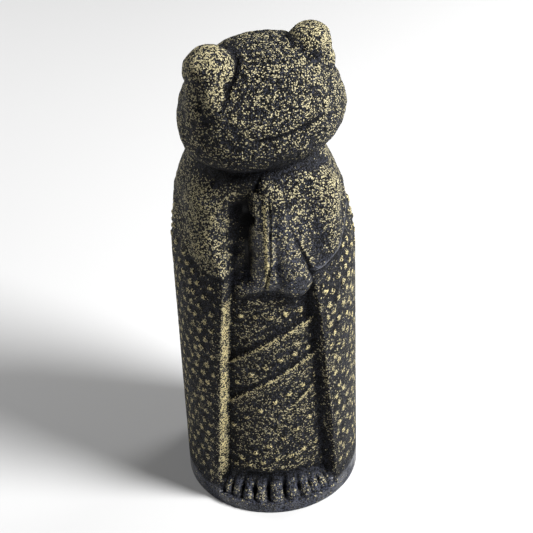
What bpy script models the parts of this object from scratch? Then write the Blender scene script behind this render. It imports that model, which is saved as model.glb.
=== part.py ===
"""A praying frog monk: a round robed column on a low foot, its long sleeves open over an inner robe,
two palms pressed together under a broad tilted head with two eye bulges.

The whole figure is one casting, so it is one closed skin. Its form is a function that is negative
inside the stone and positive outside. Rays cast outward from the middle of the figure find where that
function changes sign, row above row, and the points found become the skin.

The front faces -Y, a turn is an angle round the column from the front, positive towards +X, and the
origin is the middle of the flat underside. A rise is a height over the shoulder line, where the
straight column ends, so that the arms, the palms and the head move with it.
"""
import bpy
import numpy as np

# The column, in metres
COLUMN_RADIUS = 0.0530
FOOT_HEIGHT = 0.0073
FOOT_BEVEL = 0.0005
FOOT_EDGE = 0.0004
SHOULDER_HEIGHT = 0.1547
SHOULDER_DOME = 0.1020
SHOULDER_LEAN = 0.0022
SHOULDER_POWER = 2.15

# The opening between the sleeves: heights up to the shoulder as shares of it, then rises, and the turn
# of each side's edge there, in degrees
EDGE_SHARES = (0.05, 0.20, 0.43, 0.83)
EDGE_RISES = (0.0186, 0.0253, 0.0433, 0.0603, 0.0683, 0.0743, 0.0803)
LEFT_EDGE = (44.0, 41.5, 38.5, 33.5, 29.5, 38.0, 41.0, 40.0, 35.0, 26.0, 10.0)
RIGHT_EDGE = (44.0, 42.0, 39.5, 34.2, 29.0, 26.5, 19.5, 15.5, 13.5, 11.0, 8.0)
OPENING_DEPTH = 0.0105
OPENING_WALL = 0.0022

# The hollows on either side of the palms, over the chest: the left one has a wide slope
CHEST_RISE = 0.0053
CHEST_FADE = 0.0160
LEFT_HOLLOW = 0.0105
RIGHT_HOLLOW = 0.0045
LEFT_SLOPE = 0.0170
HOLLOW_FADE = 0.0140

# The ridge and the crease along the right side of the hands
RIDGE_HEIGHT = 0.0016
RIDGE_PLACE = 0.0028
RIDGE_WIDTH = 0.0014
CREASE_DEPTH = 0.0014
CREASE_PLACE = 0.0004
CREASE_WIDTH = 0.0010

# The hem that ends the upper arm, and the sleeve set back under it
LEFT_HEM_RISE = 0.0179
RIGHT_HEM_RISE = 0.0201
BACK_HEM_RISE = 0.0493
HEM_CLIMB = (31.0, 98.0)
HEM_EDGE = 0.0016
SLEEVE_INSET = 0.0024
SLEEVE_FADE = 0.0180

# Folds of the inner robe: share of the shoulder's height at the front, climb and bow with the turn, step
FOLDS = (
    (0.830, 0.00044, -0.0000029, 0.0020),
    (0.649, 0.00047, -0.0000025, 0.0018),
    (0.443, 0.00068, 0.0, 0.0013),
)
FOLD_FADE = 0.0150
FOLD_EDGE = 0.0040
ROBE_HEM = 0.0265
ROBE_HEM_BOW = 0.0000035
ROBE_HEM_EDGE = 0.0020
ROBE_HEM_STEP = 0.0020

# The swell of the upper arms: place to the side, place in front, rise and radius
ARM_TOP = (0.0285, -0.0210, 0.0583, 0.0140)
ELBOW = (0.0305, -0.0290, 0.0303, 0.0103)
ARM_FILLET = 0.0040

# The palms: a blade, and rods from one end to another, each end as across, front, rise and radius
PALM_TOP_RISE = 0.0743
PALM_FOOT_RISE = 0.0153
PALM_MIDDLE = 0.0004
PALM_WIDTH_TOP = 0.0040
PALM_WIDTH_FOOT = 0.0055
PALM_REACH_TOP = 0.0445
PALM_REACH_FOOT = 0.0495
PALM_CURVE = 1.5
PALM_ROOT = 0.0250
SEAM_DEPTH = 0.0012
SEAM_WIDTH = 0.0009
HANDS = (
    ((-0.0044, -0.0388, 0.0673, 0.0050), (-0.0040, -0.0410, 0.0163, 0.0064)),
    ((-0.0040, -0.0410, 0.0133, 0.0064), (-0.0140, -0.0378, 0.0078, 0.0070)),
    ((0.0044, -0.0402, 0.0708, 0.0042), (0.0136, -0.0414, 0.0133, 0.0106)),
)
HAND_FILLET = 0.0020
PALM_FILLET = 0.0015

# The toes: turns of the left foot and of the right foot, in degrees from the front
LEFT_TOES = (-38.0, -29.0, -20.0, -10.5, -1.0)
RIGHT_TOES = (12.0, 19.0, 26.0, 32.5, 38.5)
TOE_RADIUS = 0.0031
TOE_REACH = 0.0505
TOE_SHRINK = 0.0000375
TOE_ROOT_SIZE = 1.15
TOE_ROOT_LIFT = 2.4
TOE_TIP_LIFT = 0.4
TOE_FILLET = 0.0015

# The head: where it sits, with its height as a rise, its size, and its turn, lean and raise in degrees
HEAD_PLACE = (0.0020, -0.0071, 0.1007)
HEAD_HALF_WIDTH = 0.0470
HEAD_HALF_LENGTH = 0.0385
HEAD_CROWN = 0.0447
HEAD_CHIN = 0.0268
HEAD_POWER = 2.05
HEAD_TURN = 19.0
HEAD_LEAN = 5.0
HEAD_RAISE = 1.0
NECK_FILLET = 0.0030

# The eyes in the head's own axes, each a rod from a swell to a smaller tip, with their radii
EYES = (
    ((-0.0276, -0.0072, 0.0370, 0.0150), (-0.0310, -0.0135, 0.0280, 0.0068)),
    ((0.0305, -0.0050, 0.0342, 0.0125), (0.0342, -0.0080, 0.0262, 0.0080)),
)
EYE_FILLET = 0.0020
EYE_OUTER_FILLET = 0.0040
EYE_OUTER_FROM = (0.0240, 0.0310)
EYE_CREASE = 0.0009
EYE_CREASE_WIDTH = 0.0016

# The mouth in the head's own axes: a line that bows up to its ends
MOUTH_CENTRE = (0.0015, 0.0064)
MOUTH_SLOPE = 0.05
MOUTH_BOW = 2.0
MOUTH_HALF_WIDTH = 0.0220
MOUTH_DEPTH = 0.0012
MOUTH_WIDTH = 0.0013

# How finely the skin is laid out: columns on each side of the front, and rows over the crown
COLUMNS_IN_OPENING = 12
COLUMNS_IN_WALL = 3
COLUMNS_ROUND_BACK = 20
ROWS_ON_CROWN = 15
SETTLED_EDGE = 22.0

STONE = (0.020, 0.021, 0.030, 1.0)


def ease(value, low, high):
    """0 below low, 1 above high, and a smooth rise between them."""
    share = np.clip((value - low) / (high - low), 0.0, 1.0)
    return share * share * (3.0 - 2.0 * share)


def bell(value, width):
    """1 at zero, falling away on both sides."""
    return np.exp(-(value / width) ** 2)


def join(first, second, blend):
    """The union of two forms, with a fillet about as wide as blend where they meet."""
    share = np.clip(0.5 + 0.5 * (second - first) / blend, 0.0, 1.0)
    return second + (first - second) * share - blend * share * (1.0 - share)


def rod(points, start, end):
    """Distance from a rod with round ends, each given as a place and a radius."""
    start, end = np.array(start), np.array(end)
    axis = end[:3] - start[:3]
    share = np.clip((points - start[:3]) @ axis / (axis @ axis), 0.0, 1.0)
    nearest = start[:3] + share[:, None] * axis
    return np.linalg.norm(points - nearest, axis=1) - (start[3] + (end[3] - start[3]) * share)


def over_shoulder(end):
    """A rod's end whose height is a rise, with its height over the ground instead."""
    x, y, rise, radius = end
    return (x, y, SHOULDER_HEIGHT + rise, radius)


def opening_edge(height, turn):
    """The turn of the opening's edge, in degrees, on the side of the given turn.

    It narrows from the foot to the chest beside the inner robe, and closes up to the neck above it."""
    low = SHOULDER_HEIGHT * np.array(EDGE_SHARES)
    heights = np.concatenate((low, SHOULDER_HEIGHT + np.array(EDGE_RISES)))
    return np.where(turn < 0.0, np.interp(height, heights, LEFT_EDGE), np.interp(height, heights, RIGHT_EDGE))


def hem_height(turn):
    """Height of the hem that ends the upper arm: higher on the right side, and highest at the back."""
    front = np.where(turn < 0.0, LEFT_HEM_RISE, RIGHT_HEM_RISE)
    return SHOULDER_HEIGHT + front + (BACK_HEM_RISE - front) * ease(np.abs(turn), *HEM_CLIMB)


def robe_folds(turn, height):
    """How far the inner robe stands out: each fold's upper edge is a step that fades out below it."""
    relief = np.zeros_like(height)
    for share, climb, bow, step in FOLDS:
        below = share * SHOULDER_HEIGHT + climb * turn + bow * turn ** 2 - height
        faded = np.exp(-np.maximum(below, 0.0) / FOLD_FADE)
        relief = np.maximum(relief, step * ease(below, -FOLD_EDGE / 2, FOLD_EDGE / 2) * faded)
    hem = ROBE_HEM - ROBE_HEM_BOW * turn ** 2
    return relief + ROBE_HEM_STEP * ease(height, hem - ROBE_HEM_EDGE / 2, hem + ROBE_HEM_EDGE / 2)


def carving(turn, height, beyond):
    """How much the opening and the hollows take off the column; beyond is a distance past the edge."""
    on_left = turn < 0.0
    rise = height - SHOULDER_HEIGHT
    slope = ease(rise, EDGE_RISES[0] - FOOT_BEVEL, EDGE_RISES[1])
    wall = OPENING_WALL + np.where(on_left, LEFT_SLOPE - OPENING_WALL, 0.0) * slope
    within = 1.0 - ease(beyond, -wall, 0.0)
    over_foot = ease(height, FOOT_HEIGHT - FOOT_EDGE / 2, FOOT_HEIGHT + FOOT_EDGE / 2)
    low = OPENING_DEPTH * over_foot - robe_folds(turn, height)
    hollow = np.where(on_left, LEFT_HOLLOW, RIGHT_HOLLOW)
    high = hollow * (1.0 - ease(rise, PALM_TOP_RISE - 0.7 * HOLLOW_FADE, PALM_TOP_RISE + 0.3 * HOLLOW_FADE))
    depth = low + (high - low) * ease(rise, CHEST_RISE, CHEST_RISE + CHEST_FADE)
    return np.where(height < FOOT_HEIGHT - FOOT_EDGE / 2, 0.0, depth) * within, within


def hand_edge(turn, height, beyond):
    """The crease, less the ridge inside it, along the right side of the hands above the elbow."""
    rise = height - SHOULDER_HEIGHT
    top = 1.0 - ease(rise, PALM_TOP_RISE - 0.7 * HOLLOW_FADE, PALM_TOP_RISE)
    along = ease(rise, PALM_FOOT_RISE, RIGHT_HEM_RISE) * top * (turn > 0.0)
    ridge = RIDGE_HEIGHT * bell(beyond + RIDGE_PLACE, RIDGE_WIDTH)
    return (CREASE_DEPTH * bell(beyond + CREASE_PLACE, CREASE_WIDTH) - ridge) * along


def column(points):
    """The robe: a straight column under a domed shoulder, with the opening and the hem cut into it."""
    x, y, z = points.T
    rise = z - SHOULDER_HEIGHT
    lean = SHOULDER_LEAN * ease(rise, 0.1 * SHOULDER_DOME, 0.7 * SHOULDER_DOME)
    reach = np.hypot(x + lean, y)
    turn = np.degrees(np.arctan2(x + lean, -y))
    above = np.maximum(rise, 0.0) / SHOULDER_DOME
    size = ((reach / COLUMN_RADIUS) ** SHOULDER_POWER + above ** SHOULDER_POWER) ** (1.0 / SHOULDER_POWER)
    beyond = np.radians(np.abs(turn) - opening_edge(z, turn)) * COLUMN_RADIUS
    carved, within = carving(turn, z, beyond)
    skin = COLUMN_RADIUS * (size - 1.0) + carved + hand_edge(turn, z, beyond)

    below = hem_height(turn) - z
    front = 1.0 - 0.5 * ease(np.abs(turn), 45.0, 75.0)
    faded = np.exp(-np.maximum(below, 0.0) / SLEEVE_FADE)
    inset = SLEEVE_INSET * front * ease(below, -HEM_EDGE / 2, HEM_EDGE / 2) * faded
    return skin + inset * (1.0 - within)


def arms(points):
    """The swell of the two upper arms over the shoulder dome, lowest at the elbow beside the hands."""
    skin = np.full(len(points), 1.0)
    for side in (-1.0, 1.0):
        ends = [over_shoulder((side * end[0], *end[1:])) for end in (ARM_TOP, ELBOW)]
        skin = np.minimum(skin, rod(points, *ends))
    return skin


def palms(points):
    """Two palms pressed together: a blade with a seam, between rods that spread into round wrists."""
    x, y, z = points.T
    top, foot = SHOULDER_HEIGHT + PALM_TOP_RISE, SHOULDER_HEIGHT + PALM_FOOT_RISE
    held = np.clip((z - foot) / (top - foot), 0.0, 1.0)
    width = PALM_WIDTH_FOOT + (PALM_WIDTH_TOP - PALM_WIDTH_FOOT) * held
    reach = PALM_REACH_FOOT + (PALM_REACH_TOP - PALM_REACH_FOOT) * held ** PALM_CURVE
    across = x - PALM_MIDDLE
    past_end = np.maximum(np.maximum(z - top, foot - z), 0.0)
    past_edge = np.maximum(np.maximum(width - reach - y, y + PALM_ROOT), 0.0)
    skin = np.sqrt(across ** 2 + past_edge ** 2 + past_end ** 2) - width
    for start, end in HANDS:
        skin = join(skin, rod(points, over_shoulder(start), over_shoulder(end)), HAND_FILLET)
    return skin + SEAM_DEPTH * bell(across, SEAM_WIDTH)


def toes(points):
    """Ten toes that radiate from under the inner robe, each a rod that slopes down to its tip."""
    skin = np.full(len(points), 1.0)
    inner = COLUMN_RADIUS - OPENING_DEPTH - TOE_RADIUS
    for turn in LEFT_TOES + RIGHT_TOES:
        along = np.array((np.sin(np.radians(turn)), -np.cos(np.radians(turn))))
        outer = TOE_REACH - TOE_SHRINK * abs(turn) - TOE_RADIUS
        root = (*(along * inner), FOOT_HEIGHT + TOE_ROOT_LIFT * TOE_RADIUS, TOE_ROOT_SIZE * TOE_RADIUS)
        tip = (*(along * outer), FOOT_HEIGHT + TOE_TIP_LIFT * TOE_RADIUS, TOE_RADIUS)
        skin = join(skin, rod(points, root, tip), TOE_FILLET)
    return skin


def head_axes():
    """The head's own axes as the columns of a matrix: turned, then leaned, then raised."""
    turn, lean, raised = np.radians((HEAD_TURN, HEAD_LEAN, HEAD_RAISE))
    about_z = np.array(((np.cos(turn), -np.sin(turn), 0), (np.sin(turn), np.cos(turn), 0), (0, 0, 1)))
    about_y = np.array(((np.cos(lean), 0, -np.sin(lean)), (0, 1, 0), (np.sin(lean), 0, np.cos(lean))))
    about_x = np.array(((1, 0, 0), (0, np.cos(raised), np.sin(raised)), (0, -np.sin(raised), np.cos(raised))))
    return about_z @ about_y @ about_x


def head_centre():
    """The middle of the head over the ground."""
    return np.array((HEAD_PLACE[0], HEAD_PLACE[1], SHOULDER_HEIGHT + HEAD_PLACE[2]))


def mouth(own):
    """How deep the mouth's line is pressed in, at points in the head's own axes."""
    x, y, z = own.T
    across = x - MOUTH_CENTRE[0]
    line = MOUTH_CENTRE[1] + MOUTH_SLOPE * across + MOUTH_BOW * across ** 2
    ends = 1.0 - ease(np.abs(across), 0.7 * MOUTH_HALF_WIDTH, MOUTH_HALF_WIDTH)
    return np.where(y < 0.0, MOUTH_DEPTH * bell(z - line, MOUTH_WIDTH) * ends, 0.0)


def head(points):
    """A broad flattened ball with two eye bulges at its top corners and a thin line for the mouth."""
    own = (points - head_centre()) @ head_axes()
    x, y, z = own.T
    tall = np.where(z > 0.0, HEAD_CROWN, HEAD_CHIN)
    shares = np.abs(np.stack((x / HEAD_HALF_WIDTH, y / HEAD_HALF_LENGTH, z / tall)))
    size = np.sum(shares ** HEAD_POWER, axis=0) ** (1.0 / HEAD_POWER)
    skin = (size - 1.0) * np.linalg.norm(own, axis=1) / np.maximum(size, 1e-6)
    outer = ease(np.abs(x), *EYE_OUTER_FROM)
    for swell, tip in EYES:
        eye = rod(own, swell, tip)
        crease = EYE_CREASE * bell(eye, EYE_CREASE_WIDTH) * (1.0 - outer)
        skin = join(skin + crease, eye, EYE_FILLET + EYE_OUTER_FILLET * outer)
    return skin + mouth(own)


def stone(points):
    """Negative inside the figure, positive outside it."""
    robed = join(column(points), arms(points), ARM_FILLET)
    robed = join(robed, palms(points), PALM_FILLET)
    robed = join(robed, toes(points), TOE_FILLET)
    return join(robed, head(points), NECK_FILLET)


def ray_stations():
    """The rays of the rows, from the foot to the widest line of the head. Each station is a point that its
    ray passes, as a reach and a height, then the ray's tilt in degrees and the rows up to the next one.
    The lowest rays look up so that they meet the top of the foot."""
    radius = COLUMN_RADIUS
    ledge = FOOT_HEIGHT + OPENING_DEPTH
    crease = SHOULDER_HEIGHT + 0.0833
    return (
        (radius, FOOT_BEVEL, 45.0, 9),
        (radius, ledge, 45.0, 3),
        (radius, ledge + 0.012, 5.0, 16),
        (radius, SHOULDER_HEIGHT, 0.0, 6),
        (radius, SHOULDER_HEIGHT + 0.0225, 0.0, 8),
        (0.80 * radius, SHOULDER_HEIGHT + 0.0675, 0.0, 4),
        (0.64 * radius, crease, -17.0, 3),
        (0.80 * radius, crease + 0.007, -26.0, 4),
        (0.88 * radius, head_centre()[2], 0.0, 0),
    )


def ray_rows():
    """For each row of rays, the height where its rays leave the middle line, their tilt in degrees, and
    the height that they pass at the column's surface."""
    stations = ray_stations()
    rows = []
    for station, following in zip(stations[:-1], stations[1:]):
        for step in range(station[3]):
            share = step / station[3]
            here, there = np.array(station[:3]), np.array(following[:3])
            reach, height, tilt = here + (there - here) * share
            rows.append((height - reach * np.tan(np.radians(tilt)), tilt, height))
    middle = head_centre()[2]
    for step in range(ROWS_ON_CROWN):
        rows.append((middle, 90.0 * step / ROWS_ON_CROWN, middle))
    return rows


def column_turns(height):
    """The turns of the columns at a height, in degrees, evenly spaced between the opening's edges and
    close together on its walls."""
    wall = np.degrees((OPENING_WALL + 0.001) / COLUMN_RADIUS)
    settled = ease(height, SHOULDER_HEIGHT + 0.060, SHOULDER_HEIGHT + 0.085)
    sides = []
    for side in (-1.0, 1.0):
        edge = float(opening_edge(np.array(height), np.array(side)))
        edge = edge + (SETTLED_EDGE - edge) * settled
        inside = np.linspace(0.0, edge - wall, COLUMNS_IN_OPENING + 1)
        across = np.linspace(edge - wall, edge + 0.2 * wall, COLUMNS_IN_WALL + 1)
        around = np.linspace(edge + 0.2 * wall, 180.0, COLUMNS_ROUND_BACK + 1)
        sides.append(side * np.concatenate((inside[:-1], across[:-1], around)))
    return np.concatenate((sides[1], sides[0][::-1][1:-1]))


def cast(starts, ways, length):
    """Points where rays first leave the stone: a coarse march out, then halving the last step."""
    steps = 80
    near = np.zeros(len(starts))
    far = np.full(len(starts), length)
    inside = np.ones(len(starts), bool)
    for step in range(1, steps + 1):
        along = np.full(len(starts), length * step / steps)
        out = stone(starts + ways * along[:, None]) > 0.0
        left = inside & out
        far[left] = along[left]
        inside &= ~out
        near[inside] = along[inside]
    for _ in range(24):
        middle = 0.5 * (near + far)
        out = stone(starts + ways * middle[:, None]) > 0.0
        far = np.where(out, middle, far)
        near = np.where(out, near, middle)
    return starts + ways * far[:, None]


def skin_rings():
    """Rings of points from the edge of the underside up to the crown, all with the same columns."""
    rings = []
    for origin, tilt, height in ray_rows():
        turns = np.radians(column_turns(height))
        flat, rise = np.cos(np.radians(tilt)), np.sin(np.radians(tilt))
        ways = np.stack((flat * np.sin(turns), -flat * np.cos(turns), np.full(len(turns), rise)), axis=1)
        first = max(0.0, (0.5 * FOOT_BEVEL - origin) / rise) if rise > 0.0 else 0.0
        starts = np.array((0.0, 0.0, origin)) + ways * first
        rings.append(cast(starts, ways, 2.0 * COLUMN_RADIUS))
    return rings


def frog_mesh():
    """One closed skin: a flat underside, the rings, and a point at the crown."""
    rings = skin_rings()
    middle = np.array([[0.0, 0.0, head_centre()[2]]])
    crown = cast(middle, np.array([[0.0, 0.0, 1.0]]), 2.0 * COLUMN_RADIUS)
    turns = np.radians(column_turns(0.0))
    rim_radius = COLUMN_RADIUS - FOOT_BEVEL
    rim = np.stack((np.sin(turns), -np.cos(turns), np.zeros(len(turns))), axis=1) * rim_radius
    points = np.concatenate([np.zeros((1, 3)), 0.55 * rim, rim] + rings + [crown])
    wide = len(turns)
    tall = len(rings) + 2
    here = np.arange(wide)
    after = (here + 1) % wide
    faces = [(0, 1 + b, 1 + a) for a, b in zip(here, after)]
    for row in range(tall - 1):
        low, high = 1 + row * wide, 1 + (row + 1) * wide
        faces.extend((low + a, low + b, high + b, high + a) for a, b in zip(here, after))
    top = 1 + (tall - 1) * wide
    faces.extend((top + a, top + b, len(points) - 1) for a, b in zip(here, after))
    mesh = bpy.data.meshes.new("frog_statue")
    mesh.from_pydata(points.tolist(), [], [tuple(int(corner) for corner in face) for face in faces])
    mesh.validate()
    mesh.shade_smooth()
    return mesh


def stone_material():
    """Near-black cast stone with a dull coat."""
    material = bpy.data.materials.new("cast_stone")
    material.use_nodes = True
    shader = material.node_tree.nodes["Principled BSDF"]
    shader.inputs["Base Color"].default_value = STONE
    shader.inputs["Roughness"].default_value = 0.6
    shader.inputs["Metallic"].default_value = 0.0
    return material


def main():
    """Clears the scene and builds the statue."""
    for thing in list(bpy.data.objects):
        bpy.data.objects.remove(thing)
    statue = bpy.data.objects.new("frog_statue", frog_mesh())
    statue.data.materials.append(stone_material())
    bpy.context.collection.objects.link(statue)


main()
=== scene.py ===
# %% [markdown]
# # A praying frog monk in cast stone
#
# The object is a small garden statue: a frog in a monk's robe, palms together, cast in one piece from
# dark cement and sand and then rubbed with dull gold paint. This lesson builds its fine surface over
# the plain solid that the frame holds. The solid gives the size and the place; everything else here
# is form, grain and paint.
#
# We start by loading the frame and noting its box, because the finished skin has to stay inside it.

# %% Load the frame
import math
import bpy
import numpy as np
from mathutils import Matrix, Vector


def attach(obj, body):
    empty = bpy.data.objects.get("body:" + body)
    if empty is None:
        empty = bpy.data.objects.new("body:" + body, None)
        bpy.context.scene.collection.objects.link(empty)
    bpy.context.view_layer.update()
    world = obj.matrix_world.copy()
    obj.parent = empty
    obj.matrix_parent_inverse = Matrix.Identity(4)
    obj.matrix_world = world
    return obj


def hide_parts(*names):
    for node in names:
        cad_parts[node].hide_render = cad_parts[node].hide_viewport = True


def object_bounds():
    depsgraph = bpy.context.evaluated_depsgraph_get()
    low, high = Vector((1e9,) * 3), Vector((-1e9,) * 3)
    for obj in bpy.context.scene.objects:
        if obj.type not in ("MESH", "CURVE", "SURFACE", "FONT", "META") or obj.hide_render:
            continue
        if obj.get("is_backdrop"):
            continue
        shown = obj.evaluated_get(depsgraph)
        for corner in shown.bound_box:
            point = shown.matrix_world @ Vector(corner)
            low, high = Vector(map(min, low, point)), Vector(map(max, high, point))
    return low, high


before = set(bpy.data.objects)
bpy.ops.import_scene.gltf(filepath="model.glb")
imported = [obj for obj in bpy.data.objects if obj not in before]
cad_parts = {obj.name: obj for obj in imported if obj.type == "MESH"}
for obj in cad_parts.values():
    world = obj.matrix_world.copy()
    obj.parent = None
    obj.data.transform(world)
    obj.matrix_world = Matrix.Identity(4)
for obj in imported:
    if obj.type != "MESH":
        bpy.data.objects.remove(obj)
low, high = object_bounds()
SOLID_BOX = [list(low), list(high)]
print("the solid's box in millimetres:", [[round(v * 1000, 1) for v in corner] for corner in SOLID_BOX])

# %% [markdown]
# ## The camera
#
# A long lens a metre or so away looks down on the statue, as a product photographer holds it. The
# camera is described the way a photographer would say it: how high it looks from, how far round from
# the statue's front it stands, how far it leans, and the point it aims at. A matrix made of those is
# easier to read than a location and three angles. Angles are in degrees, places in metres, and the
# lens and the film in millimetres.

# %% Camera
LOOK_DOWN = 35.69
LOOK_ROUND = -3.0
CAMERA_LEAN = -2.56
DISTANCE = 0.9113
AIM = Vector((0.0011, 0.0001, 0.1476))
LENS = 105.3
FILM_WIDTH = 36.0
NEAREST_SEEN = 0.05


def direction(turn, height):
    """The unit vector that points turn degrees round from the statue's front and height degrees up."""
    round_by, up = math.radians(turn), math.radians(height)
    return Vector((math.sin(round_by) * math.cos(up), -math.cos(round_by) * math.cos(up), math.sin(up)))


def place_camera():
    """The camera stands back from AIM along one direction, and its up leans a little off the vertical."""
    back = direction(LOOK_ROUND, LOOK_DOWN)
    camera = bpy.data.objects.new("camera", bpy.data.cameras.new("camera"))
    bpy.context.collection.objects.link(camera)
    level = back.to_track_quat("Z", "Y").to_matrix().to_4x4()
    leaned = level @ Matrix.Rotation(math.radians(CAMERA_LEAN), 4, "Z")
    camera.matrix_world = Matrix.Translation(AIM + back * DISTANCE) @ leaned
    camera.data.lens = LENS
    camera.data.sensor_width = FILM_WIDTH
    camera.data.clip_start = NEAREST_SEEN
    bpy.context.scene.camera = camera
    return camera


camera = place_camera()
print("the camera stands at", [round(v, 3) for v in camera.location])

# %% [markdown]
# ## The floor and the lights
#
# The photograph shows the statue on plain white, with one soft strong light high on the right, which
# leaves the left of the chin and of the hands in deep shade. So there is one strong round area light
# on that side. Two weaker ones stand behind, one at each side, and put a pale rim on the dark stone.
# The world is faint, because a bright one would fill the shade.

# %% Lights
KEY_TURN = 64.0
KEY_HEIGHT = 43.0
KEY_DISTANCE = 1.3
KEY_SIZE = 0.50
KEY_POWER = 40.0
RIM_TURN = 125.0
RIM_HEIGHT = 20.0
RIM_DISTANCE = 1.4
RIM_SIZE = 0.6
RIM_POWER = 10.0
LIT_POINT = Vector((0, 0, 0.17))


def shine(name, turn, height, distance, size, power):
    """A round area light that stands off from LIT_POINT along one direction and faces it."""
    towards = direction(turn, height)
    lamp = bpy.data.lights.new(name, "AREA")
    lamp.shape = "DISK"
    lamp.size = size
    lamp.energy = power
    light = bpy.data.objects.new(name, lamp)
    bpy.context.collection.objects.link(light)
    facing = towards.to_track_quat("Z", "Y").to_matrix().to_4x4()
    light.matrix_world = Matrix.Translation(LIT_POINT + towards * distance) @ facing
    return light


shine("key", KEY_TURN, KEY_HEIGHT, KEY_DISTANCE, KEY_SIZE, KEY_POWER)
shine("left rim", -RIM_TURN, RIM_HEIGHT, RIM_DISTANCE, RIM_SIZE, RIM_POWER)
shine("right rim", RIM_TURN, RIM_HEIGHT, RIM_DISTANCE, RIM_SIZE, RIM_POWER)
print("three lights; the key is", round(KEY_POWER / RIM_POWER, 1), "times as strong as a rim light")

# %% Floor and world
WORLD_LIGHT = 0.03
WHITE = (1, 1, 1, 1)
FLOOR_HALF = 6.0
FLOOR_WHITE = (0.62, 0.62, 0.62, 1)
FLOOR_ROUGHNESS = 0.9


def pale_floor():
    """A square of matt white under the statue, wide enough to fill the view."""
    corners = [(x * FLOOR_HALF, y * FLOOR_HALF, 0) for x, y in ((-1, -1), (1, -1), (1, 1), (-1, 1))]
    mesh = bpy.data.meshes.new("floor")
    mesh.from_pydata(corners, [], [(0, 1, 2, 3)])
    floor = bpy.data.objects.new("floor", mesh)
    bpy.context.collection.objects.link(floor)
    paint = bpy.data.materials.new("floor_white")
    paint.use_nodes = True
    shader = paint.node_tree.nodes["Principled BSDF"]
    shader.inputs["Base Color"].default_value = FLOOR_WHITE
    shader.inputs["Roughness"].default_value = FLOOR_ROUGHNESS
    mesh.materials.append(paint)
    floor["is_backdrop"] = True
    return floor


def faint_world():
    """White light from all round, by the Background node."""
    world = bpy.data.worlds.new("studio")
    world.use_nodes = True
    background = world.node_tree.nodes["Background"]
    background.inputs["Color"].default_value = WHITE
    background.inputs["Strength"].default_value = WORLD_LIGHT
    bpy.context.scene.world = world


pale_floor()
faint_world()
bpy.context.scene.view_settings.view_transform = "Standard"
print("a floor of", 2 * FLOOR_HALF, "m and a world of strength", WORLD_LIGHT)

# %% [markdown]
# ## How the figure is shaped
#
# A cast figure has no parts that could be modelled one by one, so its form is written as a function of
# a point: negative inside the stone, positive outside, and zero on the skin. Simple forms are joined
# with a soft minimum, which leaves the fillets that a sculptor's thumb does. The helpers below work on
# whole arrays of points at once.
#
# A turn is an angle in degrees round the figure from its front, positive to the right of someone who
# faces it, and the names left and right are used in the same way.

# %% Helpers for forms
MM = 0.001


def ease(value, start, end):
    """0 before start, 1 after end, and 3t^2 - 2t^3 between them."""
    share = np.clip((value - start) / (end - start), 0.0, 1.0)
    return share * share * (3.0 - 2.0 * share)


def band(value, start, full, fading, gone):
    """0 before start, eased up to 1 at full, and eased down again from fading to 0 at gone."""
    return ease(value, start, full) * (1.0 - ease(value, fading, gone))


def bell(value, width):
    """1 at zero, falling off like e to the minus (value / width) squared."""
    return np.exp(-(value / width) ** 2)


def join(first, second, blend):
    """The union of two forms: their minimum, less blend * t * (1 - t) where the two are close."""
    share = np.clip(0.5 + 0.5 * (second - first) / blend, 0.0, 1.0)
    return second + (first - second) * share - blend * share * (1.0 - share)


def rod(points, start, end, start_radius, end_radius):
    """Distance from a line's nearest point, less a radius that runs from one end's to the other's."""
    start = np.array(start)
    axis = np.array(end) - start
    share = np.clip((points - start) @ axis / (axis @ axis), 0.0, 1.0)
    away = points - start - share[:, None] * axis
    return np.sqrt(np.einsum("ij,ij->i", away, away)) - (start_radius + (end_radius - start_radius) * share)


print("forms are joined with fillets; at equal distances a 4 mm blend adds", -join(0.0, 0.0, 4.0), "mm")

# %% [markdown]
# ## The robe
#
# The robe is a round column that domes over at the shoulders. The long sleeves hang open in front, and
# the opening is a shallow recess with steep walls: narrow under the hands, wide at the foot. Above the
# hands it goes on as two hollows beside the palms, which close up towards the neck. All of this is a
# change of the column's radius with the turn round it and the height, so it is written as a depth to
# take away.

# %% Sizes of the robe and its opening
RADIUS = 53.0 * MM
FOOT = 7.3 * MM
SHOULDER = 154.7 * MM
DOME = 102.0 * MM
DOME_POWER = 2.15
RECESS = 10.5 * MM
HOLLOW_LEFT = 10.5 * MM
HOLLOW_RIGHT = 4.5 * MM
WALL = 2.0 * MM
LEFT_ROLL = 17.0 * MM
PALM_TOP = 229.0 * MM
PALM_FOOT = 170.0 * MM
CHEST = 160.0 * MM
EDGE_HEIGHTS = np.array((7.7, 31.0, 66.5, 128.4, 173.3, 180.0, 198.0, 215.0, 223.0, 229.0, 235.0)) * MM
LEFT_EDGE = (44.0, 41.5, 38.5, 33.5, 29.5, 32.0, 39.0, 34.0, 27.0, 19.0, 10.0)
RIGHT_EDGE = (44.0, 42.0, 39.5, 34.2, 29.0, 26.5, 19.5, 15.5, 13.5, 11.0, 8.0)


def opening_edge(height, turn):
    """The turn of the opening's edge in degrees: straight lines between heights chosen on the robe."""
    left = np.interp(height, EDGE_HEIGHTS, LEFT_EDGE)
    right = np.interp(height, EDGE_HEIGHTS, RIGHT_EDGE)
    return np.where(turn < 0.0, left, right)


print("the opening is", round(2 * float(opening_edge(SHOULDER, 1.0)), 1), "degrees wide under the hands")

# %% Hem of the upper arms
LEFT_HEM = 172.6
RIGHT_HEM = 174.8
BACK_HEM = 204.0
HEM_CLIMB = (31.0, 98.0)


def hem_height(turn):
    """The hem of the upper arm: level in front, a little higher on the right, easing up to the back."""
    front = np.where(turn < 0.0, LEFT_HEM, RIGHT_HEM)
    return (front + (BACK_HEM - front) * ease(np.abs(turn), *HEM_CLIMB)) * MM


print("the hem climbs by", round(float(hem_height(180.0) - hem_height(10.0)) / MM, 1), "mm towards the back")

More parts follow.
